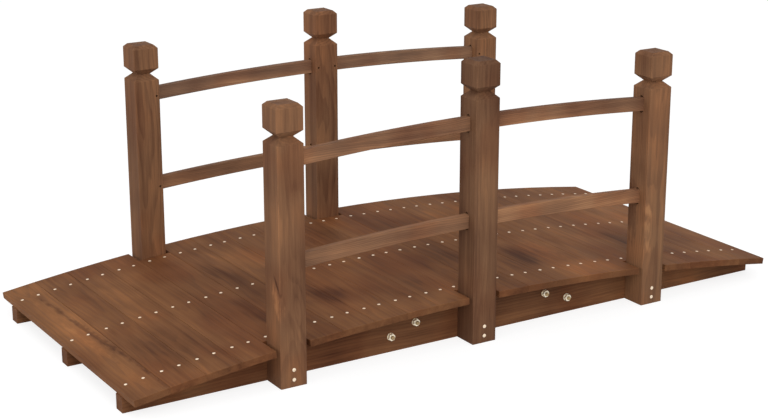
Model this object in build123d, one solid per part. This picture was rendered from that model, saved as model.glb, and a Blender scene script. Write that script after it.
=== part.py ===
from build123d import *

import math
import os

# A small arched garden bridge in timber: a deck of boards on three arched stringers,
# with three posts and four arched rails on each side.
# Millimetres. X runs along the bridge, Y across it and Z up. The origin is on the
# ground, under the middle of the bridge. The near side is the one at negative Y.

os.makedirs("parts", exist_ok=True)

# The whole bridge
bridge_length = 1500.0
width_over_posts = 670.0
deck_crown_height = 99.5
deck_end_height = 43.5

# Deck boards. The posts stand beside the middle board and six boards either side of it.
board_count = 21
boards_between_posts = 6
board_thickness = 13.0
board_length = 667.0
board_gap = 0.35
board_edge_easing = 0.5
board_seat_gap = 0.1
board_to_post_gap = 1.0

# Stringers, the arched bearers that stand on the ground
stringer_thickness = 27.0
middle_stringer_offset = -5.5
stringer_joint_gap = 0.4

# Posts
post_section = 55.0
middle_post_height = 568.0
end_post_height = 537.6
post_edge_easing = 1.2
finial_bevel = 7.2
finial_block_height = 42.0
neck_groove_height = 25.2
neck_groove_depth = 14.0

# Rails
rail_height = 28.0
rail_thickness = 15.0
rail_arch_radius = 5400.0
upper_rail_below_post_top = 109.0
lower_rail_crown_height = 263.5
rail_edge_easing = 1.0
rail_shoulder_gap = 0.2
tenon_depth = 18.0
mortise_width = 10.0
mortise_side_clearance = 0.3
mortise_end_reach = 4.3
mortise_extra_depth = 0.6

# Screw holes in the inner face of each post, which reach the rail tenons
pin_hole_diameter = 5.0
pin_hole_from_post_edge = 7.0

# Splice plates, which join the two halves of each stringer near mid-length
splice_centre_from_joint = -5.8
splice_plate_length = 510.0
splice_plate_height = 60.0
splice_plate_thickness = 20.0
splice_plate_above_ground = 10.0

# Hexagon bolts through the splice plates, a low outer pair and a higher inner pair
outer_bolt_from_centre = 215.5
outer_bolt_height = 32.4
inner_bolt_from_centre = 158.2
inner_bolt_height = 51.9
splice_bolt_diameter = 8.0
splice_nut_across_flats = 13.0
splice_nut_thickness = 6.5
bolt_hole_clearance = 0.25

# How far a cutting shape runs out of the face that it cuts
cut_overrun = 1.0

# Worked out from the sizes above
half_length = bridge_length / 2
deck_rise = deck_crown_height - deck_end_height
deck_radius = (half_length**2 + deck_rise**2) / (2 * deck_rise)
arch_centre_height = deck_crown_height - deck_radius
deck_half_angle = math.asin((half_length + board_gap / 2) / deck_radius)
board_angle = 2 * deck_half_angle / board_count
board_underside_radius = deck_radius - board_thickness
board_width = 2 * board_underside_radius * math.tan(board_angle / 2) - board_gap
middle_board = (board_count + 1) // 2
joint_angle = middle_board * board_angle - deck_half_angle
stringer_joint_place = deck_radius * math.sin(joint_angle)
stringer_radius = board_underside_radius - board_seat_gap
post_half = post_section / 2
upper_rail_crown_height = middle_post_height - upper_rail_below_post_top
post_inner_face = width_over_posts / 2 - post_section
post_centre_line = post_inner_face + post_half
mortise_depth = tenon_depth + mortise_extra_depth
mortise_height = rail_height + 2 * mortise_end_reach
tenon_thickness = mortise_width - 2 * mortise_side_clearance
splice_centre = stringer_joint_place + splice_centre_from_joint
splice_plate_ends = (
    splice_centre - splice_plate_length / 2,
    splice_centre + splice_plate_length / 2,
)
splice_bolt_places = (
    (splice_centre - outer_bolt_from_centre, outer_bolt_height),
    (splice_centre - inner_bolt_from_centre, inner_bolt_height),
    (splice_centre + inner_bolt_from_centre, inner_bolt_height),
    (splice_centre + outer_bolt_from_centre, outer_bolt_height),
)
post_boards = {
    "left": middle_board - boards_between_posts,
    "middle": middle_board,
    "right": middle_board + boards_between_posts,
}
sides = {"near": -1, "far": 1}


def solid_from_side(edges, y_low, y_high):
    """A side outline, drawn in X and Z, made solid from y_low to y_high."""
    outline = make_face([Plane.XZ * edge for edge in edges])
    return Pos(0, y_high, 0) * extrude(outline, y_high - y_low, dir=(0, -1, 0))


def arch_height(x, radius, centre_height):
    """Height of an arc of this radius at x, its centre on the Z axis."""
    return centre_height + math.sqrt(radius**2 - x**2)


def extrude_across(shape, x, z, y_from, y_to):
    """A flat shape centred at x and z, made solid across the bridge."""
    y_low, y_high = sorted((y_from, y_to))
    plane = Plane(origin=(x, y_low, z), x_dir=(1, 0, 0), z_dir=(0, 1, 0))
    return extrude(plane * shape, y_high - y_low)


def round_bar(x, z, y_from, y_to, diameter):
    """A round bar or hole that runs across the bridge."""
    return extrude_across(Circle(diameter / 2), x, z, y_from, y_to)


def hexagon_bar(x, z, y_from, y_to, across_flats):
    """A nut or bolt head whose axis runs across the bridge."""
    corner_radius = across_flats / 2 / math.cos(math.pi / 6)
    return extrude_across(RegularPolygon(corner_radius, 6), x, z, y_from, y_to)


def bolt_hole(x, z, y_centre, thickness):
    """A through hole for a splice bolt in a piece that is this thick across the bridge."""
    reach = thickness / 2 + cut_overrun
    diameter = splice_bolt_diameter + 2 * bolt_hole_clearance
    return round_bar(x, z, y_centre - reach, y_centre + reach, diameter)


def board_place(number):
    """X and Z of the middle of a board's top face, and its tilt in degrees."""
    angle = (number - (board_count + 1) / 2) * board_angle
    x = deck_radius * math.sin(angle)
    z = arch_centre_height + deck_radius * math.cos(angle)
    return x, z, math.degrees(angle)


def make_board(number):
    """One flat deck board, its top edges eased. Those beside a pair of posts are shorter."""
    x, z, tilt = board_place(number)
    length = board_length
    if number in post_boards.values():
        length = 2 * (post_inner_face - board_to_post_gap)
    blank = Pos(0, 0, -board_thickness / 2) * Box(board_width, length, board_thickness)
    top_edges = blank.faces().sort_by(Axis.Z)[-1].edges()
    blank = chamfer(top_edges, board_edge_easing)
    return Pos(x, 0, z) * Rot(0, tilt, 0) * blank


def post_centre(place):
    """X of the middle of a post, beside the middle of its board."""
    return board_place(post_boards[place])[0]


def post_height(place):
    """The middle posts stand taller than the end posts."""
    return middle_post_height if place == "middle" else end_post_height


def post_outline(height):
    """Half of the post's outline as pairs of half-width and height, from the ground up."""
    block_top = height - finial_bevel
    block_bottom = block_top - finial_block_height
    neck = block_bottom - neck_groove_height / 2
    shoulder = block_bottom - neck_groove_height
    return [
        (post_half, 0),
        (post_half, shoulder),
        (post_half - neck_groove_depth, neck),
        (post_half, block_bottom),
        (post_half, block_top),
        (post_half - finial_bevel, height),
    ]


def make_post_blank(height):
    """A square post with a V groove for a neck and a bevelled block on top."""
    half = post_outline(height)
    points = half + [(-w, z) for w, z in reversed(half)]
    outline = make_face(Plane.XZ * Polyline(*points, close=True))
    across = Pos(0, post_half, 0) * extrude(outline, post_section, dir=(0, -1, 0))
    along = Rot(0, 0, 90) * across
    shape = across & along
    long_edges = shape.edges().filter_by(Axis.Z)
    return chamfer(long_edges, post_edge_easing)


def rail_centre_height(x, crown_height):
    """Height of a rail's centre line at x."""
    centre_radius = rail_arch_radius - rail_height / 2
    return arch_height(x, centre_radius, crown_height - rail_arch_radius)


def make_mortise(x_face, direction, y_centre, crown_height):
    """A slot cut into the post face at x_face. Its round ends show above and below the rail."""
    x_from = x_face - direction * cut_overrun
    x_mid_tenon = x_face + direction * tenon_depth / 2
    origin = (x_from, y_centre, rail_centre_height(x_mid_tenon, crown_height))
    plane = Plane(origin=origin, x_dir=(0, 0, 1), z_dir=(direction, 0, 0))
    slot = SlotOverall(mortise_height, mortise_width)
    return extrude(plane * slot, mortise_depth + cut_overrun)


def make_pin_hole(x_face, direction, sign, crown_height):
    """The hole from a post's inner face to the mortise of the rail that enters at x_face."""
    x = x_face + direction * pin_hole_from_post_edge
    z = rail_centre_height(x, crown_height)
    y_from = sign * (post_inner_face - cut_overrun)
    y_to = sign * post_centre_line
    return round_bar(x, z, y_from, y_to, pin_hole_diameter)


def make_post(side, place):
    """One post with its mortises and pin holes."""
    sign = sides[side]
    x_centre = post_centre(place)
    y_centre = sign * post_centre_line
    post = Pos(x_centre, y_centre, 0) * make_post_blank(post_height(place))
    faces = []
    if place != "left":
        faces.append((x_centre - post_half, 1))
    if place != "right":
        faces.append((x_centre + post_half, -1))
    for crown_height in (upper_rail_crown_height, lower_rail_crown_height):
        for x_face, direction in faces:
            post -= make_mortise(x_face, direction, y_centre, crown_height)
            post -= make_pin_hole(x_face, direction, sign, crown_height)
    return post


def make_rail(side, bay, crown_height):
    """One arched rail of a bay, shouldered to a thinner tenon at each end."""
    left, right = ("left", "middle") if bay == "left" else ("middle", "right")
    y_centre = sides[side] * post_centre_line
    x_left = post_centre(left) + post_half + rail_shoulder_gap
    x_right = post_centre(right) - post_half - rail_shoulder_gap
    body = make_rail_bar(x_left, x_right, crown_height, y_centre, rail_thickness)
    body = chamfer(long_rail_edges(body), rail_edge_easing)
    core = make_rail_bar(
        x_left - tenon_depth,
        x_right + tenon_depth,
        crown_height,
        y_centre,
        tenon_thickness,
    )
    return body + core


def make_rail_bar(x_left, x_right, crown_height, y_centre, thickness):
    """A bar between two arcs, with upright ends."""
    outer = rail_arch_radius
    inner = rail_arch_radius - rail_height
    centre_height = crown_height - rail_arch_radius
    middle = (x_left + x_right) / 2
    top = [(x, arch_height(x, outer, centre_height)) for x in (x_right, middle, x_left)]
    under = [(x, arch_height(x, inner, centre_height)) for x in (x_left, middle, x_right)]
    edges = [
        ThreePointArc(*under),
        Line(under[2], top[0]),
        ThreePointArc(*top),
        Line(top[2], under[0]),
    ]
    return solid_from_side(edges, y_centre - thickness / 2, y_centre + thickness / 2)


def long_rail_edges(body):
    """The four curved edges that run along a rail."""
    return body.edges().filter_by(GeomType.CIRCLE)


def stringer_centre(line):
    """Y of the middle of a stringer."""
    if line == "middle":
        return middle_stringer_offset
    return sides[line] * (post_inner_face - stringer_thickness / 2)


def make_stringer(line, half):
    """One half of a stringer: flat on the ground, arched under the boards."""
    if half == "left":
        x_low, x_high = -half_length, stringer_joint_place - stringer_joint_gap / 2
    else:
        x_low, x_high = stringer_joint_place + stringer_joint_gap / 2, half_length
    x_middle = (x_low + x_high) / 2
    top = [
        (x, arch_height(x, stringer_radius, arch_centre_height))
        for x in (x_high, x_middle, x_low)
    ]
    edges = [
        Line((x_low, 0), (x_high, 0)),
        Line((x_high, 0), top[0]),
        ThreePointArc(*top),
        Line(top[2], (x_low, 0)),
    ]
    y_centre = stringer_centre(line)
    reach = stringer_thickness / 2
    stringer = solid_from_side(edges, y_centre - reach, y_centre + reach)
    for x, z in splice_bolt_places:
        if x_low < x < x_high:
            stringer -= bolt_hole(x, z, y_centre, stringer_thickness)
    return stringer


def plate_side(line):
    """The plates lie on the inner faces of the outer stringers, and far of the middle one."""
    return 1 if line == "middle" else -sides[line]


def plate_centre(line):
    """Y of the middle of a splice plate."""
    offset = (stringer_thickness + splice_plate_thickness) / 2
    return stringer_centre(line) + plate_side(line) * offset


def make_splice_plate(line):
    """A plate bolted across the joint between the two halves of a stringer."""
    x_low, x_high = splice_plate_ends
    y_centre = plate_centre(line)
    z_centre = splice_plate_above_ground + splice_plate_height / 2
    blank = Box(x_high - x_low, splice_plate_thickness, splice_plate_height)
    plate = Pos((x_low + x_high) / 2, y_centre, z_centre) * blank
    for x, z in splice_bolt_places:
        plate -= bolt_hole(x, z, y_centre, splice_plate_thickness)
    return plate


def make_splice_bolts(line):
    """Hexagon bolts, their heads on the plate and their nuts on the stringer."""
    side = plate_side(line)
    stringer_face = stringer_centre(line) - side * stringer_thickness / 2
    plate_face = plate_centre(line) + side * splice_plate_thickness / 2
    head_end = plate_face + side * splice_nut_thickness
    nut_end = stringer_face - side * splice_nut_thickness
    bolts = Part()
    for x, z in splice_bolt_places:
        bolts += round_bar(x, z, stringer_face, plate_face, splice_bolt_diameter)
        bolts += hexagon_bar(x, z, plate_face, head_end, splice_nut_across_flats)
        bolts += hexagon_bar(x, z, stringer_face, nut_end, splice_nut_across_flats)
    return bolts


parts = {}
for number in range(1, board_count + 1):
    parts[f"deck_board_{number:02d}"] = make_board(number)
for line in ("near", "middle", "far"):
    for half in ("left", "right"):
        parts[f"stringer_{line}_{half}"] = make_stringer(line, half)
    parts[f"splice_plate_{line}"] = make_splice_plate(line)
    parts[f"splice_bolts_{line}"] = make_splice_bolts(line)
for side in sides:
    for place in post_boards:
        parts[f"post_{side}_{place}"] = make_post(side, place)
    for bay in ("left", "right"):
        parts[f"rail_{side}_{bay}_upper"] = make_rail(side, bay, upper_rail_crown_height)
        parts[f"rail_{side}_{bay}_lower"] = make_rail(side, bay, lower_rail_crown_height)

for name, part in parts.items():
    export_step(part, f"parts/{name}.step")
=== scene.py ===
import math
import random

import bmesh
import bpy
from mathutils import Matrix, Vector


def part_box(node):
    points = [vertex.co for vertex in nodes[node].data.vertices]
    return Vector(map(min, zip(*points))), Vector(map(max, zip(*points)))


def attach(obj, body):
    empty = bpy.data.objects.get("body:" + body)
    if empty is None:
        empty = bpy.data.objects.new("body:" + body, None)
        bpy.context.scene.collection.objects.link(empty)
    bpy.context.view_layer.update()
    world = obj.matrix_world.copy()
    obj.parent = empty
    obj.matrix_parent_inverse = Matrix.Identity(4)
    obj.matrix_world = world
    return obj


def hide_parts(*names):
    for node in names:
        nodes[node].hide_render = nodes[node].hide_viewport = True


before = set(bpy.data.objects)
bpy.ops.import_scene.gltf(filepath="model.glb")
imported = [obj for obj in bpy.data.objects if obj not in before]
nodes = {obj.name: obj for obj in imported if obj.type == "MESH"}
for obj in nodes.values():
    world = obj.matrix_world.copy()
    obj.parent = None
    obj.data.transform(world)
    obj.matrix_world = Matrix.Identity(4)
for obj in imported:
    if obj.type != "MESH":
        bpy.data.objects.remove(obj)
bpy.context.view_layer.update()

# The looks of a small arched timber garden bridge, in metres. X runs along the bridge,
# Y across it and Z up, and the near side is the one at negative Y.

MM = 0.001

# Camera, at the photograph's viewing angle
CAMERA_PLACE = (-1.833, -2.9095, 1.2322)
CAMERA_YAW = 1.0150
CAMERA_PITCH = 0.2948
FOCAL_LENGTH_PIXELS = 1701.5
IMAGE_WIDTH_PIXELS = 768
SENSOR_WIDTH = 36.0

# Studio
FLOOR_SIZE = 80.0
FLOOR_DROP = 0.2 * MM
FLOOR_SEEN_COLOUR = 0.30
FLOOR_BOUNCE_COLOUR = 0.80
FLOOR_GLOW = 0.80
SKY_LIGHT = 0.70
LAMP_TARGET = Vector((0.0, 0.0, 0.2))
KEY_DIRECTION = Vector((-0.30, -0.80, 0.62))
KEY_DISTANCE = 4.5
KEY_SIZE = 2.4
KEY_POWER = 68.0
FILL_DIRECTION = Vector((-0.95, -0.05, 0.38))
FILL_DISTANCE = 4.5
FILL_SIZE = 3.0
FILL_POWER = 30.0

# Nails: two a board in each of three rows. The shifts are those of the deck's two halves,
# and the profile is in shares of radius and height.
NAIL_ROWS = (-260.9 * MM, -5.7 * MM, 260.9 * MM)
NAIL_HALF_SPACING = 17.1 * MM
NAIL_SHIFT_LEFT = -1.8 * MM
NAIL_SHIFT_RIGHT = -7.2 * MM
LAST_LEFT_BOARD = 10
LAST_BOARD = 21
NAIL_HEAD_RADIUS = 3.1 * MM
NAIL_HEAD_HEIGHT = 0.45 * MM
NAIL_HEAD_SINK = 0.1 * MM
NAIL_PROFILE = ((1.0, -0.6), (1.0, 0.35), (0.94, 0.72), (0.72, 0.95), (0.36, 1.0))
NAIL_SIDES = 20
NAIL_SCATTER = 0.5 * MM
NAIL_TILT = 0.05
NAIL_SEED = 41
FLAT_TOP_SAMENESS = 0.9999

# Hexagon bolts of the splice plates
BOLT_RADIUS = 4.0 * MM
BOLT_END_LENGTH = 3.4 * MM
THREAD_PITCH = 1.25 * MM
THREAD_DEPTH = 0.45 * MM
NUT_ACROSS_FLATS = 13.0 * MM
NUT_THICKNESS = 6.5 * MM
HEAD_THICKNESS = 5.3 * MM
WASHER_RADIUS = 7.6 * MM
WASHER_THICKNESS = 1.6 * MM
WASHER_EDGE = 0.25 * MM
CHAMFER_START = 0.94
CHAMFER_SLOPE = math.tan(math.radians(30))
HEXAGON_STEP = math.pi / 3
ROUND_SIDES = 48

# Small round-headed bolts through the post feet into the stringers. The head's profile is
# in shares of radius and height. The end's profile has its rise in metres.
POST_BOLT_HEIGHTS = (14.4 * MM, 34.0 * MM)
POST_BOLT_HEAD_RADIUS = 3.7 * MM
POST_BOLT_HEAD_HEIGHT = 1.0 * MM
POST_BOLT_HEAD_PROFILE = (
    (1.0, 0.0), (1.0, 0.30), (0.93, 0.58), (0.76, 0.82), (0.48, 0.96), (0.2, 1.0),
)
POST_BOLT_RADIUS = 2.5 * MM
POST_BOLT_END_PROFILE = ((1.0, 0.0), (1.0, 1.2 * MM), (0.8, 1.6 * MM))
POST_NUT_ACROSS_FLATS = 8.0 * MM
POST_NUT_THICKNESS = 4.0 * MM
POST_BOLT_SEED = 5


# Short calls for nodes

class Graph:
    """One material and its nodes. Most calls return an output socket."""

    def __init__(self, name):
        self.material = bpy.data.materials.new(name)
        self.material.use_nodes = True
        self.tree = self.material.node_tree
        self.shader = self.tree.nodes["Principled BSDF"]

    def node(self, kind, **settings):
        node = self.tree.nodes.new(kind)
        for key, value in settings.items():
            setattr(node, key, value)
        return node

    def feed(self, socket, value):
        """A link from another socket, or a plain value."""
        if isinstance(value, bpy.types.NodeSocket):
            self.tree.links.new(value, socket)
        else:
            socket.default_value = value

    def math(self, operation, *values):
        node = self.node("ShaderNodeMath", operation=operation)
        for socket, value in zip(node.inputs, values):
            self.feed(socket, value)
        return node.outputs[0]

    def vector(self, operation, *values):
        node = self.node("ShaderNodeVectorMath", operation=operation)
        for socket, value in zip(node.inputs, values):
            self.feed(socket, value)
        result = "Value" if operation in ("LENGTH", "DOT_PRODUCT") else "Vector"
        return node.outputs[result]

    def split(self, vector):
        node = self.node("ShaderNodeSeparateXYZ")
        self.feed(node.inputs[0], vector)
        return node.outputs[:]

    def join(self, x, y, z):
        node = self.node("ShaderNodeCombineXYZ")
        for socket, value in zip(node.inputs, (x, y, z)):
            self.feed(socket, value)
        return node.outputs[0]

    def noise(self, vector, stretch, offset, detail=2.0, roughness=0.5, distortion=0.0,
              output="Fac"):
        """Noise whose features are 1/stretch metres long on each axis."""
        node = self.node("ShaderNodeTexNoise")
        self.feed(node.inputs["Vector"], self.vector("MULTIPLY_ADD", vector, stretch, offset))
        node.inputs["Scale"].default_value = 1.0
        node.inputs["Detail"].default_value = detail
        node.inputs["Roughness"].default_value = roughness
        node.inputs["Distortion"].default_value = distortion
        return node.outputs[output]

    def smooth_step(self, value, low, high, to_low=0.0, to_high=1.0):
        node = self.node("ShaderNodeMapRange", interpolation_type="SMOOTHSTEP")
        for socket, number in zip(node.inputs, (value, low, high, to_low, to_high)):
            self.feed(socket, number)
        return node.outputs[0]

    def ramp(self, value, stops):
        """A colour ramp from (position, colour) pairs."""
        node = self.node("ShaderNodeValToRGB")
        self.feed(node.inputs[0], value)
        elements = node.color_ramp.elements
        for position, colour in stops[2:]:
            elements.new(position).color = colour
        for element, (position, colour) in zip(elements, sorted(stops)):
            element.position = position
            element.color = colour
        return node.outputs[0]

    def mix(self, factor, first, second, mode="MIX"):
        node = self.node("ShaderNodeMix", data_type="RGBA", blend_type=mode)
        self.feed(node.inputs[0], factor)
        self.feed(node.inputs[6], first)
        self.feed(node.inputs[7], second)
        return node.outputs[2]

    def sum(self, *terms):
        """Adds (weight, socket) pairs, each centred on a half, to a half."""
        total = 0.5
        for weight, socket in terms:
            centred = self.math("SUBTRACT", socket, 0.5)
            total = self.math("MULTIPLY_ADD", centred, weight, total)
        return total

    def bump(self, height, strength, distance):
        node = self.node("ShaderNodeBump")
        node.inputs["Strength"].default_value = strength
        node.inputs["Distance"].default_value = distance
        self.feed(node.inputs["Height"], height)
        self.feed(self.shader.inputs["Normal"], node.outputs[0])


def srgb(red, green, blue):
    """A colour as it is seen, 0 to 255, as linear values."""
    def linear(value):
        share = value / 255
        return share / 12.92 if share <= 0.04045 else ((share + 0.055) / 1.055) ** 2.4
    return (linear(red), linear(green), linear(blue), 1.0)


# Timber

# From the darkest tone to the palest
TIMBER_STOPS = (
    (0.00, srgb(52, 31, 22)),
    (0.22, srgb(84, 54, 38)),
    (0.45, srgb(110, 75, 53)),
    (0.58, srgb(122, 85, 60)),
    (0.78, srgb(146, 101, 69)),
    (1.00, srgb(178, 127, 86)),
)
WARM_STAIN = srgb(150, 84, 46)

# The axis of the fibres, then the two across them
GRAIN_AXES = {"X": (0, 1, 2), "Y": (1, 0, 2), "Z": (2, 0, 1)}

# Features of the noise in a metre, along the fibres and across them
SWAY_STRETCH = (2.6, 0.0, 0.0)
RIPPLE_STRETCH = (9.0, 32.0, 32.0)
UNEVEN_STRETCH = (0.8, 60.0, 60.0)
STREAK_STRETCH = (1.6, 75.0, 75.0)
BAND_STRETCH = (0.7, 17.0, 17.0)
FINE_STRETCH = (22.0, 620.0, 620.0)
CLOUD_STRETCH = (5.0, 12.0, 12.0)
TORN_STRETCH = (55.0, 120.0, 120.0)
PATCH_STRETCH = (30.0, 90.0, 90.0)

# Each piece has noise of its own, shifted by up to this many features
SHIFT_REACH = 50

# Noise that runs on from one piece to the next: features in a metre on X, Y and Z
STAIN_STRETCH = (7.0, 4.5, 5.5)
STAIN_OFFSET = (3.0, 8.0, 1.0)
WARMTH_STRETCH = (9.0, 5.0, 6.0)
WARMTH_OFFSET = (20.0, 4.0, 9.0)

# Growth rings. The reach of the pith to a side is in millimetres.
PITH_SIDE_REACH = 18
PITH_DEPTH_SHARES = (0.7, 1.3)
SWAY_WIDE = 50 * MM
SWAY_DEEP = 40 * MM
RIPPLE_REACH = 6 * MM
RING_UNEVENNESS = 1.6
LATE_WOOD_START = 0.30
LATE_WOOD_END = 0.90
CUT_END_RING_SHARE = 0.6
RING_TONE_SHARE = 0.35

# Weight of each noise in the tone
STREAK_WEIGHT = 0.62
BAND_WEIGHT = 0.40
FINE_WEIGHT = 0.34
STAIN_WEIGHT = 0.62
CLOUD_WEIGHT = 0.34

# Knots, stains and painted light and shade. Distances are in shares of a mark's own size, and
# the widest torn mark is a half-width in millimetres.
KNOT_FALL = -0.55
KNOT_RINGS = 3.5
KNOT_EDGE = (0.35, 1.5)
STAIN_AND_PAINTED_LIGHT_EDGE = (0.25, 1.25)
EDGE_CLOUD_WEIGHT = 1.6
EDGE_STREAK_WEIGHT = 1.2
EDGE_TORN_WEIGHT = 1.6
SOFT_EDGE_MEAN = 0.5
TORN_EDGE_MEAN = 1.3
WIDEST_TORN_MARK = 20

# Cut ends, rubbed edges that carry a painted edge highlight, and warm stain
CUT_END_FACING = (0.75, 0.95)
CUT_END_TONE = -0.12
EDGE_ROUNDING = 1.6 * MM
EDGE_SAMENESS = (0.80, 0.995)
RUBBED_AND_HIGHLIGHT_RANGE = (0.42, 0.62)
RUBBED_AND_HIGHLIGHT_TONE = 0.16
WARMTH_RANGE = (0.42, 0.66)
WARMTH_SWING = 0.24

# Surface
TIMBER_ROUGHNESS = 0.60
FINE_ROUGHNESS = 0.22
LATE_ROUGHNESS = -0.06
TIMBER_SPECULAR = 0.07
LATE_HEIGHT = 0.5
STREAK_HEIGHT = 0.6
TIMBER_BUMP = 0.55
TIMBER_BUMP_DISTANCE = 0.35 * MM


class Timber(Graph):
    """Softwood of one CAD node, whose fibres follow the axis that grain names."""

    def __init__(self, node, grain, seed):
        super().__init__(node)
        self.draw = random.Random(seed)
        self.low, self.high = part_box(node)
        self.centre = (self.low + self.high) / 2
        coordinates = self.node("ShaderNodeTexCoord")
        self.place = coordinates.outputs["Object"]
        local = self.split(self.vector("SUBTRACT", self.place, tuple(self.centre)))
        self.order = GRAIN_AXES[grain]
        self.along, self.wide, self.deep = (local[axis] for axis in self.order)
        self.fibre = self.join(self.along, self.wide, self.deep)
        self.shift = tuple(self.draw.uniform(-SHIFT_REACH, SHIFT_REACH) for _ in range(3))
        normal = self.split(coordinates.outputs["Normal"])
        facing = self.math("ABSOLUTE", normal[self.order[0]])
        self.cut_end = self.smooth_step(facing, *CUT_END_FACING)

    def grain_noise(self, stretch, **settings):
        """Noise that is drawn out along the fibres."""
        return self.noise(self.fibre, stretch, self.shift, **settings)

    def ring_phase(self, ring_width, pith_depth):
        """Rings counted from a pith that lies off the middle of the piece and wanders along
        it, which draws the long arches of the grain."""
        sway = self.split(self.grain_noise(SWAY_STRETCH, detail=1.5, output="Color"))
        ripple = self.split(self.grain_noise(RIPPLE_STRETCH, output="Color"))
        side = self.draw.choice((-1, 1))
        pith_wide = self.draw.uniform(-PITH_SIDE_REACH, PITH_SIDE_REACH) * MM
        pith_deep = side * pith_depth * self.draw.uniform(*PITH_DEPTH_SHARES) * MM
        offsets = []
        for across, pith, swing, small, reach in (
            (self.wide, pith_wide, sway[0], ripple[0], SWAY_WIDE),
            (self.deep, pith_deep, sway[1], ripple[1], SWAY_DEEP),
        ):
            moved = self.math("SUBTRACT", across, pith)
            swung = self.math("SUBTRACT", swing, 0.5)
            moved = self.math("MULTIPLY_ADD", swung, reach, moved)
            rippled = self.math("SUBTRACT", small, 0.5)
            moved = self.math("MULTIPLY_ADD", rippled, RIPPLE_REACH, moved)
            offsets.append(moved)
        from_pith = self.vector("LENGTH", self.join(*offsets, 0.0))
        phase = self.math("DIVIDE", from_pith, ring_width * MM)
        uneven = self.grain_noise(UNEVEN_STRETCH, detail=1.0)
        return self.math("MULTIPLY_ADD", uneven, RING_UNEVENNESS, phase)

    def late_wood(self, phase):
        """The dark part of each ring, which starts slowly and ends sharply."""
        ring = self.math("FRACT", phase)
        start = self.smooth_step(ring, LATE_WOOD_START, LATE_WOOD_END)
        end = self.smooth_step(ring, LATE_WOOD_END, 1.0, 1.0, 0.0)
        return self.math("MULTIPLY", start, end)

    def spread(self, mark_place, half_width, half_length, slant):
        """Distance from a mark's middle, 1 at its edge. The slant leans it within its face."""
        away = [mark_place[axis] * MM - self.centre[axis] for axis in self.order]
        under = [
            (self.high - self.low)[axis] / 2 - abs(offset)
            for axis, offset in zip(self.order, away)
        ]
        lean = (slant, 0.0) if under[1] > under[2] else (0.0, slant)
        run = self.math("SUBTRACT", self.along, away[0])
        across = self.math("SUBTRACT", self.wide, away[1])
        inward = self.math("SUBTRACT", self.deep, away[2])
        across = self.math("MULTIPLY_ADD", run, lean[0], across)
        inward = self.math("MULTIPLY_ADD", run, lean[1], inward)
        halves = (half_length * MM, half_width * MM, half_width * MM)
        offset = self.vector("DIVIDE", self.join(run, across, inward), halves)
        return self.vector("LENGTH", offset)

    def mark_knots(self, phase, knots):
        """Knots bend the rings round themselves and darken."""
        marks = 0.0
        for place, half_width, half_length, darkness, slant in knots:
            distance = self.spread(place, half_width, half_length, slant)
            swell = self.math("EXPONENT", self.math("MULTIPLY", distance, KNOT_FALL))
            phase = self.math("MULTIPLY_ADD", swell, KNOT_RINGS, phase)
            dark = self.smooth_step(distance, *KNOT_EDGE, -darkness, 0.0)
            marks = self.math("ADD", dark, marks)
        return phase, marks

    def mark_stains_and_painted_light(self, marks, stains_and_painted_light, cloud, streak):
        """Stains and painted light and shade lighten or darken. Wide ones have soft edges and the
        others torn ones.
        """
        torn = self.grain_noise(TORN_STRETCH)
        soft_edge = self.sum((EDGE_CLOUD_WEIGHT, cloud), (EDGE_STREAK_WEIGHT, streak))
        torn_edge = self.math("MULTIPLY_ADD", torn, EDGE_TORN_WEIGHT, soft_edge)
        for place, half_width, half_length, change, slant in stains_and_painted_light:
            distance = self.spread(place, half_width, half_length, slant)
            edge, mean = soft_edge, SOFT_EDGE_MEAN
            if half_width < WIDEST_TORN_MARK:
                edge, mean = torn_edge, TORN_EDGE_MEAN
            distance = self.math("SUBTRACT", self.math("ADD", distance, edge), mean)
            shade = self.smooth_step(distance, *STAIN_AND_PAINTED_LIGHT_EDGE, change, 0.0)
            marks = self.math("ADD", shade, marks)
        return marks

    def rubbed_and_highlit_edges(self):
        """Where edges are rubbed pale, in broken stretches. The pale edge is partly wear and
        partly a painted highlight.
        """
        rounded = self.node("ShaderNodeBevel", samples=4)
        rounded.inputs["Radius"].default_value = EDGE_ROUNDING
        sharp = self.node("ShaderNodeNewGeometry")
        same = self.vector("DOT_PRODUCT", rounded.outputs[0], sharp.outputs["Normal"])
        edge = self.smooth_step(same, *EDGE_SAMENESS, 1.0, 0.0)
        patches = self.smooth_step(self.grain_noise(PATCH_STRETCH), *RUBBED_AND_HIGHLIGHT_RANGE)
        return self.math("MULTIPLY", edge, patches)


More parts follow.
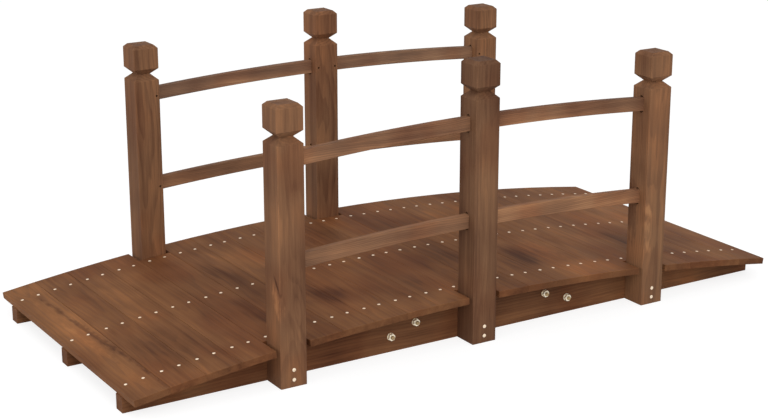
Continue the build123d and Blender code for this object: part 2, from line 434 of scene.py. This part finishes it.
def timber(node, grain, seed, tone=0.0, ring_width=4.5, ring_depth=0.13, pith_depth=40.0,
           red=0.0, contrast=1.0, tint=(1.0, 1.0, 1.0), knots=(), stains_and_painted_light=()):
    """Brown stained softwood.

    Tone lightens or darkens the whole piece, contrast is how strongly its streaks show, red
    is how warm its stain is, and tint multiplies its colour. Each knot is (place, half-width,
    half-length, darkness, slant) and each stain, painted light or painted shade is (place,
    half-width, half-length, change of tone, slant), with places and sizes in millimetres."""
    wood = Timber(node, grain, seed)
    phase = wood.ring_phase(ring_width, pith_depth)
    phase, marks = wood.mark_knots(phase, knots)
    late = wood.late_wood(phase)

    # Streaks, fibres and uneven stain
    streak = wood.grain_noise(STREAK_STRETCH, detail=3.0, roughness=0.6)
    band = wood.grain_noise(BAND_STRETCH, detail=1.0)
    fine = wood.grain_noise(FINE_STRETCH, roughness=0.65)
    stain = wood.noise(wood.place, STAIN_STRETCH, STAIN_OFFSET, detail=2.5)
    cloud = wood.grain_noise(CLOUD_STRETCH, distortion=0.6)
    value = wood.sum(
        (STREAK_WEIGHT * contrast, streak),
        (BAND_WEIGHT * contrast, band),
        (FINE_WEIGHT * contrast, fine),
        (STAIN_WEIGHT, stain),
        (CLOUD_WEIGHT, cloud),
    )

    # Rings, which are calmer on cut ends
    calmer = ring_depth * CUT_END_RING_SHARE
    ring_strength = wood.math("MULTIPLY_ADD", wood.cut_end, calmer, -ring_depth)
    value = wood.math("MULTIPLY_ADD", late, ring_strength, value)
    value = wood.math("ADD", value, tone + ring_depth * RING_TONE_SHARE)

    # Marks, with painted light and shade among them, the stain that cut ends soak up, and rubbed
    # edges with a painted edge highlight
    value = wood.math("ADD", value, wood.mark_stains_and_painted_light(marks, stains_and_painted_light, cloud, streak))
    value = wood.math("MULTIPLY_ADD", wood.cut_end, CUT_END_TONE, value)
    # Painted highlight: the pale rubbed edges also stand in for light caught by the edges.
    value = wood.math("MULTIPLY_ADD", wood.rubbed_and_highlit_edges(), RUBBED_AND_HIGHLIGHT_TONE, value)

    colour = wood.ramp(value, TIMBER_STOPS)
    warmth = wood.noise(wood.place, WARMTH_STRETCH, WARMTH_OFFSET)
    redness = wood.smooth_step(warmth, *WARMTH_RANGE, red, WARMTH_SWING + red)
    colour = wood.mix(redness, colour, WARM_STAIN, mode="SOFT_LIGHT")
    colour = wood.mix(1.0, colour, (*tint, 1.0), mode="MULTIPLY")
    wood.feed(wood.shader.inputs["Base Color"], colour)

    roughness = wood.math("MULTIPLY_ADD", fine, FINE_ROUGHNESS, TIMBER_ROUGHNESS)
    roughness = wood.math("MULTIPLY_ADD", late, LATE_ROUGHNESS, roughness)
    wood.feed(wood.shader.inputs["Roughness"], roughness)
    wood.shader.inputs["Specular IOR Level"].default_value = TIMBER_SPECULAR

    height = wood.math("MULTIPLY_ADD", late, LATE_HEIGHT, fine)
    height = wood.math("MULTIPLY_ADD", streak, STREAK_HEIGHT, height)
    wood.bump(height, TIMBER_BUMP, TIMBER_BUMP_DISTANCE)
    return wood.material


# Metal

SPOT_STRETCH = (420.0, 420.0, 420.0)
SPOT_OFFSET = (2.0, 5.0, 7.0)
SPOT_RANGE = (0.48, 0.72)
SCRATCH_STRETCH = (900.0, 2500.0, 900.0)
SCRATCH_OFFSET = (1.0, 1.0, 1.0)
SCRATCH_ROUGHNESS = 0.2
METAL_BUMP = 0.25
METAL_BUMP_DISTANCE = 0.05 * MM


def plated_steel(name, colour, dark, roughness, metallic):
    """Plated fasteners: a thin coat with duller spots and faint scratches."""
    graph = Graph(name)
    place = graph.node("ShaderNodeTexCoord").outputs["Object"]
    spots = graph.noise(place, SPOT_STRETCH, SPOT_OFFSET, detail=3.0)
    dull = graph.smooth_step(spots, *SPOT_RANGE)
    graph.feed(graph.shader.inputs["Base Color"], graph.mix(dull, colour, dark))
    scratches = graph.noise(place, SCRATCH_STRETCH, SCRATCH_OFFSET)
    rough = graph.math("MULTIPLY_ADD", scratches, SCRATCH_ROUGHNESS, roughness)
    graph.feed(graph.shader.inputs["Roughness"], rough)
    graph.shader.inputs["Metallic"].default_value = metallic
    graph.bump(scratches, METAL_BUMP, METAL_BUMP_DISTANCE)
    return graph.material


# Looks of each piece

DECK_LOOK = {
    "ring_width": 5.5, "ring_depth": 0.08, "pith_depth": 34.0, "contrast": 0.7,
    "tint": (1.05, 0.975, 0.82),
}
POST_LOOK = {
    "ring_width": 5.0, "pith_depth": 55.0, "red": -0.05, "tint": (0.98, 1.02, 1.05),
}
RAIL_LOOK = {"ring_width": 3.2, "pith_depth": 30.0, "tint": (0.965, 1.055, 1.20)}
STRINGER_LOOK = {
    "tone": 0.02, "ring_width": 6.0, "ring_depth": 0.09, "contrast": 0.75,
    "tint": (1.04, 0.98, 0.88),
}
BOARD_TONE_SPREAD = 0.03
UPPER_RAIL_TONE = 0.13
LOWER_RAIL_TONE = 0.25
FAR_UPPER_RAIL_TINT = (0.95, 1.15, 1.46)

# What sets single pieces apart, painted light and shade on the near posts among it. Places of
# knots, stains and painted marks are in millimetres.
OWN_LOOKS = {
    "deck_board_01": {"tone": 0.10, "red": -0.12},
    "rail_near_right_lower": {"tone": 0.30},
    "rail_far_left_upper": {"tint": FAR_UPPER_RAIL_TINT},
    "rail_far_right_upper": {"tint": FAR_UPPER_RAIL_TINT},
    "post_far_left": {"tone": 0.14},
    "post_far_middle": {"tone": 0.10},
    "post_far_right": {"tone": 0.04},
    "post_near_left": {
        "tone": 0.04,
        "contrast": 0.8,
        "ring_depth": 0.07,
        "knots": (((-421, -335, 150), 9, 44, 0.02, 0.15),),
        "stains_and_painted_light": (
            ((-457, -323, 168), 15, 42, 0.27, -0.20), ((-457, -326, 199), 5.5, 25, -0.42, -0.62),
            # Painted light: the pale mark at (-457, -312, 130) lightens the foot of the -X face,
            # which the deck shades.
            ((-423, -335, 190), 10, 32, -0.09, 0.0), ((-457, -312, 130), 30, 130, 0.16, 0.0),
            ((-457, -307, 420), 40, 170, -0.07, 0.0),
            ((-410, -335, 100), 6, 40, -0.10, 0.35), ((-432, -335, 120), 5, 40, -0.08, 0.30),
        ),
    },
    "post_near_middle": {
        "tone": -0.09,
        "contrast": 0.85,
        "ring_depth": 0.07,
        "tint": (0.93, 1.0, 1.05),
        "stains_and_painted_light": (
            ((-18, -335, 300), 1.6, 300, 0.12, 0.0), ((-6, -335, 260), 6, 300, -0.07, 0.0),
        ),
    },
    "post_near_right": {
        "tone": 0.11,
        "contrast": 0.9,
        "ring_depth": 0.10,
        "tint": (0.98, 1.07, 1.13),
        "knots": (((411, -335, 172), 7, 30, 0.02, 0.0),),
        "stains_and_painted_light": (
            ((411, -335, 206), 8, 15, 0.16, 0.3), ((409, -335, 172), 9, 17, 0.15, 0.2),
            # Painted shadow: the dark mark at (402, -292, 200) is the rail's shadow on the -X
            # face.
            ((413, -335, 131), 7, 20, 0.15, 0.3), ((402, -292, 200), 14, 60, -0.24, 0.0),
            # Painted light: the pale mark at (402, -312, 130) lightens the foot of the -X face,
            # which the deck shades.
            ((402, -312, 130), 30, 140, 0.22, 0.0), ((430, -335, 300), 30, 260, 0.03, 0.0),
        ),
    },
}

# Stains on the deck: x, y, half-width, half-length, change of tone and slant, with places
# and sizes in millimetres
DECK_STAINS = (
    (-728, 0, 24, 340, 0.17, 0.02), (-712, -20, 10, 230, 0.12, 0.03),
    (-696, 30, 8, 220, -0.30, 0.05), (-600, 60, 60, 300, -0.07, 0.0),
    (-373, 120, 20, 60, -0.18, 0.0), (-410, -143, 20, 80, -0.14, 0.0),
    (-300, 240, 60, 60, -0.10, 0.0), (-248, -155, 46, 62, -0.27, 0.0),
    (-150, -290, 200, 40, 0.06, 0.0), (140, -130, 130, 90, -0.07, 0.0),
    (215, -155, 28, 72, -0.22, 0.0), (250, -290, 170, 60, 0.17, 0.0),
    (290, -125, 14, 95, 0.12, 0.0), (352, -100, 22, 74, -0.22, 0.0),
    (514, -143, 40, 70, -0.16, 0.0), (620, 60, 120, 220, 0.17, 0.0),
    (664, -118, 45, 80, -0.18, 0.0),
)
# In half-widths from a stain's middle
STAIN_REACH = 1.8


def deck_stains(node):
    """The stains that reach a board, at the height of its top."""
    low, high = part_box(node)
    found = []
    for x, y, half_width, half_length, change, slant in DECK_STAINS:
        reach = STAIN_REACH * half_width * MM
        if low[0] - reach < x * MM < high[0] + reach:
            place = (x, y, high[2] / MM)
            found.append((place, half_width, half_length, change, slant))
    return found


def timber_of(name):
    """The timber of a CAD node, by its name."""
    seed = sum(ord(letter) * (index + 1) for index, letter in enumerate(name))
    own = OWN_LOOKS.get(name, {})
    if name.startswith("deck_board"):
        tone = random.Random(seed).uniform(-BOARD_TONE_SPREAD, BOARD_TONE_SPREAD)
        look = {**DECK_LOOK, "tone": tone, "stains_and_painted_light": deck_stains(name), **own}
        return timber(name, "Y", seed, **look)
    if name.startswith("post_"):
        return timber(name, "Z", seed, **{**POST_LOOK, **own})
    if name.startswith("rail_"):
        tone = LOWER_RAIL_TONE if name.endswith("lower") else UPPER_RAIL_TONE
        return timber(name, "X", seed, **{**RAIL_LOOK, "tone": tone, **own})
    return timber(name, "X", seed, **STRINGER_LOOK)


zinc = plated_steel(
    "pale_zinc", srgb(255, 246, 224), srgb(252, 234, 202), roughness=0.50, metallic=0.70)
bolt_end_zinc = plated_steel(
    "bolt_end_zinc", srgb(176, 150, 108), srgb(128, 100, 66), roughness=0.38, metallic=0.60)
nail_zinc = plated_steel(
    "nail_zinc", srgb(252, 234, 208), srgb(228, 196, 160), roughness=0.40, metallic=0.20)

for name in sorted(nodes):
    slots = nodes[name].data.materials
    slots.clear()
    slots.append(zinc if name.startswith("splice_bolts") else timber_of(name))


# New meshes

def new_object(name, mesh, material):
    """An object from a bmesh, which is freed."""
    data = bpy.data.meshes.new(name)
    mesh.to_mesh(data)
    mesh.free()
    data.materials.append(material)
    made = bpy.data.objects.new(name, data)
    bpy.context.scene.collection.objects.link(made)
    return made


def mesh_piece(name, mesh, material):
    """A new piece of the bridge from a bmesh."""
    piece = new_object(name, mesh, material)
    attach(piece, "root")
    return piece


# Nails

def top_of(node):
    """Middle and slope of a deck board's flat top."""
    mesh = nodes[node].data
    top = max(mesh.polygons, key=lambda polygon: polygon.area * polygon.normal.z)
    corners = [
        mesh.vertices[index].co
        for polygon in mesh.polygons
        if polygon.normal.dot(top.normal) > FLAT_TOP_SAMENESS
        for index in polygon.vertices
    ]
    middle = Vector([
        (min(corner[axis] for corner in corners) + max(corner[axis] for corner in corners)) / 2
        for axis in range(3)
    ])
    along = Vector((0, 1, 0)).cross(top.normal).normalized()
    return middle, along, top.normal.copy()


def nail_head(mesh, place, normal, draw):
    """A low round head, a little domed, its rim rounded and its face a little tipped."""
    turn = normal.to_track_quat("Z", "Y").to_matrix().to_4x4()
    tip = Matrix.Rotation(draw.uniform(-NAIL_TILT, NAIL_TILT), 4, "X")
    tip = tip @ Matrix.Rotation(draw.uniform(-NAIL_TILT, NAIL_TILT), 4, "Y")
    world = Matrix.Translation(place) @ turn @ tip
    rings = []
    for radius, rise in NAIL_PROFILE:
        ring = []
        for step in range(NAIL_SIDES):
            angle = 2 * math.pi * step / NAIL_SIDES
            point = Vector((
                radius * NAIL_HEAD_RADIUS * math.cos(angle),
                radius * NAIL_HEAD_RADIUS * math.sin(angle),
                rise * NAIL_HEAD_HEIGHT - NAIL_HEAD_SINK,
            ))
            ring.append(mesh.verts.new(world @ point))
        rings.append(ring)
    for lower, upper in zip(rings, rings[1:]):
        for step in range(NAIL_SIDES):
            after = (step + 1) % NAIL_SIDES
            mesh.faces.new((lower[step], lower[after], upper[after], upper[step]))
    mesh.faces.new(rings[-1])
    mesh.faces.new(rings[0][::-1])


def deck_nails():
    """All the nails of the deck. Those of the right half sit a little further left."""
    mesh = bmesh.new()
    draw = random.Random(NAIL_SEED)
    for number in range(1, LAST_BOARD + 1):
        middle, along, normal = top_of(f"deck_board_{number:02d}")
        shift = NAIL_SHIFT_LEFT if number <= LAST_LEFT_BOARD else NAIL_SHIFT_RIGHT
        for row in NAIL_ROWS:
            for side in (-1, 1):
                across = Vector((0, row + draw.uniform(-1, 1) * NAIL_SCATTER - middle.y, 0))
                step = shift + side * NAIL_HALF_SPACING + draw.uniform(-1, 1) * NAIL_SCATTER
                nail_head(mesh, middle + across + along * step, normal, draw)
    nails = mesh_piece("deck_nails", mesh, nail_zinc)
    for polygon in nails.data.polygons:
        polygon.use_smooth = len(polygon.vertices) == 4


# Bolts, nuts and washers. Each is turned about an axis that runs across the bridge, from a
# face at some Y. The side is 1 or -1, the way that it stands out of that face.

def turned(mesh, x, z, face, side, profile, smooth=True, material=0):
    """A solid from rings of (radius, rise), either of which may vary round the ring."""
    rings = []
    for radius, rise in profile:
        ring = []
        for index in range(ROUND_SIDES):
            angle = 2 * math.pi * index / ROUND_SIDES
            reach = radius(angle) if callable(radius) else radius
            height = rise(angle) if callable(rise) else rise
            across = reach * math.cos(angle)
            up = reach * math.sin(angle)
            ring.append(mesh.verts.new((x + across, face + side * height, z + up)))
        rings.append(ring)
    for lower, upper in zip(rings, rings[1:]):
        for step in range(ROUND_SIDES):
            after = (step + 1) % ROUND_SIDES
            wall = mesh.faces.new((lower[step], upper[step], upper[after], lower[after]))
            wall.smooth = smooth
            wall.material_index = material
    for cap in (rings[0], rings[-1][::-1]):
        mesh.faces.new(cap).material_index = material


def hexagon(mesh, x, z, face, side, across_flats, thickness, turn):
    """A hexagon nut or head with its outer corners turned off to a cone."""
    flat = across_flats / 2
    inner = flat * CHAMFER_START

    def outline(angle):
        return flat / math.cos((angle - turn) % HEXAGON_STEP - HEXAGON_STEP / 2)

    def chamfered(angle):
        return thickness - (outline(angle) - inner) * CHAMFER_SLOPE

    profile = ((outline, 0.0), (outline, chamfered), (inner, thickness))
    turned(mesh, x, z, face, side, profile, smooth=False)


def washer(mesh, x, z, face, side):
    inner = WASHER_RADIUS - WASHER_EDGE
    turned(mesh, x, z, face, side, (
        (inner, 0.0), (WASHER_RADIUS, WASHER_EDGE),
        (WASHER_RADIUS, WASHER_THICKNESS - WASHER_EDGE), (inner, WASHER_THICKNESS),
    ), smooth=False)


def threaded_end(mesh, x, z, face, side, length):
    """The end of a bolt, with the ridges of its thread and a chamfered tip."""
    root = BOLT_RADIUS - THREAD_DEPTH
    profile = []
    rise = 0.0
    while rise + THREAD_PITCH < length:
        profile += [(BOLT_RADIUS, rise), (root, rise + THREAD_PITCH / 2)]
        rise += THREAD_PITCH
    profile += [(BOLT_RADIUS, rise), (root, length)]
    turned(mesh, x, z, face, side, profile, smooth=False, material=1)


def bolt_places(node):
    """X and Z of each bolt that a node holds, from its mesh."""
    places = sorted((vertex.co.x, vertex.co.z) for vertex in nodes[node].data.vertices)
    groups = [[places[0]]]
    for place in places[1:]:
        if place[0] - groups[-1][-1][0] > NUT_ACROSS_FLATS:
            groups.append([])
        groups[-1].append(place)
    return [
        tuple((min(values) + max(values)) / 2 for values in zip(*group)) for group in groups
    ]


def splice_bolts(line):
    """Nuts with washers on the stringer, and heads with washers on the splice plate."""
    mesh = bmesh.new()
    stringer_low, stringer_high = (corner[1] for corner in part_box(f"stringer_{line}_left"))
    plate_low, plate_high = (corner[1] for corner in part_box(f"splice_plate_{line}"))
    side = 1 if plate_high > stringer_high else -1
    stringer_face = stringer_low if side > 0 else stringer_high
    plate_face = plate_high if side > 0 else plate_low
    nut_seat = stringer_face - side * WASHER_THICKNESS
    bolt_end_seat = nut_seat - side * NUT_THICKNESS
    head_seat = plate_face + side * WASHER_THICKNESS
    shank = abs(plate_face - stringer_face)
    draw = random.Random(len(line))
    for x, z in bolt_places(f"splice_bolts_{line}"):
        washer(mesh, x, z, stringer_face, -side)
        turn = draw.uniform(0, HEXAGON_STEP)
        hexagon(mesh, x, z, nut_seat, -side, NUT_ACROSS_FLATS, NUT_THICKNESS, turn)
        threaded_end(mesh, x, z, bolt_end_seat, -side, BOLT_END_LENGTH)
        washer(mesh, x, z, plate_face, side)
        turn = draw.uniform(0, HEXAGON_STEP)
        hexagon(mesh, x, z, head_seat, side, NUT_ACROSS_FLATS, HEAD_THICKNESS, turn)
        turned(mesh, x, z, stringer_face, side, ((BOLT_RADIUS, 0.0), (BOLT_RADIUS, shank)))
    bmesh.ops.recalc_face_normals(mesh, faces=mesh.faces[:])
    piece = mesh_piece(f"splice_bolts_{line}_finished", mesh, zinc)
    piece.data.materials.append(bolt_end_zinc)
    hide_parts(f"splice_bolts_{line}")


def post_bolts(side_name, sign):
    """Domed heads on the outer face of each post. The nuts are behind the stringer, or behind
    the splice plate at the middle post."""
    mesh = bmesh.new()
    draw = random.Random(sign + POST_BOLT_SEED)
    stringer = [corner[1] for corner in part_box(f"stringer_{side_name}_left")]
    plate = [corner[1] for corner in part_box(f"splice_plate_{side_name}")]
    head = [
        (radius * POST_BOLT_HEAD_RADIUS, rise * POST_BOLT_HEAD_HEIGHT)
        for radius, rise in POST_BOLT_HEAD_PROFILE
    ]
    end = [(radius * POST_BOLT_RADIUS, rise) for radius, rise in POST_BOLT_END_PROFILE]
    for place in ("left", "middle", "right"):
        low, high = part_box(f"post_{side_name}_{place}")
        x = (low[0] + high[0]) / 2
        face = high[1] if sign > 0 else low[1]
        inner = plate if place == "middle" else stringer
        inner_face = min(inner) if sign > 0 else max(inner)
        end_seat = inner_face - sign * POST_NUT_THICKNESS
        for z in POST_BOLT_HEIGHTS:
            turned(mesh, x, z, face, sign, head)
            turn = draw.uniform(0, HEXAGON_STEP)
            hexagon(mesh, x, z, inner_face, -sign, POST_NUT_ACROSS_FLATS, POST_NUT_THICKNESS, turn)
            turned(mesh, x, z, end_seat, -sign, end)
    bmesh.ops.recalc_face_normals(mesh, faces=mesh.faces[:])
    mesh_piece(f"post_bolts_{side_name}", mesh, nail_zinc)


deck_nails()
for line in ("near", "middle", "far"):
    splice_bolts(line)
for side_name, sign in (("near", -1), ("far", 1)):
    post_bolts(side_name, sign)


# Floor, light and camera

def studio_floor():
    """A white floor that shows the object's shadow faintly."""
    graph = Graph("studio_floor")
    rays = graph.node("ShaderNodeLightPath")
    seen = graph.math("MAXIMUM", rays.outputs["Is Camera Ray"], rays.outputs["Is Glossy Ray"])
    seen = graph.math("MAXIMUM", seen, rays.outputs["Is Transmission Ray"])
    bounce = (FLOOR_BOUNCE_COLOUR,) * 3 + (1.0,)
    shown = (FLOOR_SEEN_COLOUR,) * 3 + (1.0,)
    graph.feed(graph.shader.inputs["Base Color"], graph.mix(seen, bounce, shown))
    graph.shader.inputs["Roughness"].default_value = 1.0
    graph.shader.inputs["Specular IOR Level"].default_value = 0.0
    graph.shader.inputs["Emission Color"].default_value = (1.0, 1.0, 1.0, 1.0)
    glow = graph.math("MULTIPLY", seen, FLOOR_GLOW)
    graph.feed(graph.shader.inputs["Emission Strength"], glow)
    mesh = bmesh.new()
    half = FLOOR_SIZE / 2
    corners = ((-half, -half), (half, -half), (half, half), (-half, half))
    mesh.faces.new([mesh.verts.new((x, y, -FLOOR_DROP)) for x, y in corners])
    floor = new_object("studio_floor", mesh, graph.material)


def studio_sky():
    """White to the camera, and a softer white as light."""
    world = bpy.data.worlds.new("studio_sky")
    bpy.context.scene.world = world
    world.use_nodes = True
    tree = world.node_tree
    background = tree.nodes["Background"]
    background.inputs["Color"].default_value = (1.0, 1.0, 1.0, 1.0)
    rays = tree.nodes.new("ShaderNodeLightPath")
    seen = rays.outputs["Is Camera Ray"]
    for other in ("Is Glossy Ray", "Is Transmission Ray"):
        either = tree.nodes.new("ShaderNodeMath")
        either.operation = "MAXIMUM"
        tree.links.new(seen, either.inputs[0])
        tree.links.new(rays.outputs[other], either.inputs[1])
        seen = either.outputs[0]
    strength = tree.nodes.new("ShaderNodeMapRange")
    strength.inputs["To Min"].default_value = SKY_LIGHT
    strength.inputs["To Max"].default_value = 1.0
    tree.links.new(seen, strength.inputs["Value"])
    tree.links.new(strength.outputs[0], background.inputs["Strength"])


def lamp(name, direction, distance, size, power):
    """A square soft lamp that points at the bridge."""
    data = bpy.data.lights.new(name, "AREA")
    data.size = size
    data.energy = power
    lamp_object = bpy.data.objects.new(name, data)
    lamp_object.location = LAMP_TARGET + direction.normalized() * distance
    lamp_object.rotation_euler = direction.to_track_quat("Z", "Y").to_euler()
    bpy.context.scene.collection.objects.link(lamp_object)


def photo_camera():
    """The camera of the photograph, tilted down instead of shifted."""
    data = bpy.data.cameras.new("camera")
    data.sensor_width = SENSOR_WIDTH
    data.lens = FOCAL_LENGTH_PIXELS / IMAGE_WIDTH_PIXELS * SENSOR_WIDTH
    camera = bpy.data.objects.new("camera", data)
    forward = Vector((
        math.cos(CAMERA_PITCH) * math.cos(CAMERA_YAW),
        math.cos(CAMERA_PITCH) * math.sin(CAMERA_YAW),
        -math.sin(CAMERA_PITCH),
    ))
    camera.location = CAMERA_PLACE
    camera.rotation_euler = forward.to_track_quat("-Z", "Y").to_euler()
    bpy.context.scene.collection.objects.link(camera)
    bpy.context.scene.camera = camera


studio_floor()
studio_sky()
lamp("key", KEY_DIRECTION, KEY_DISTANCE, KEY_SIZE, KEY_POWER)
lamp("fill", FILL_DIRECTION, FILL_DISTANCE, FILL_SIZE, FILL_POWER)
photo_camera()
bpy.context.scene.view_settings.view_transform = "Standard"
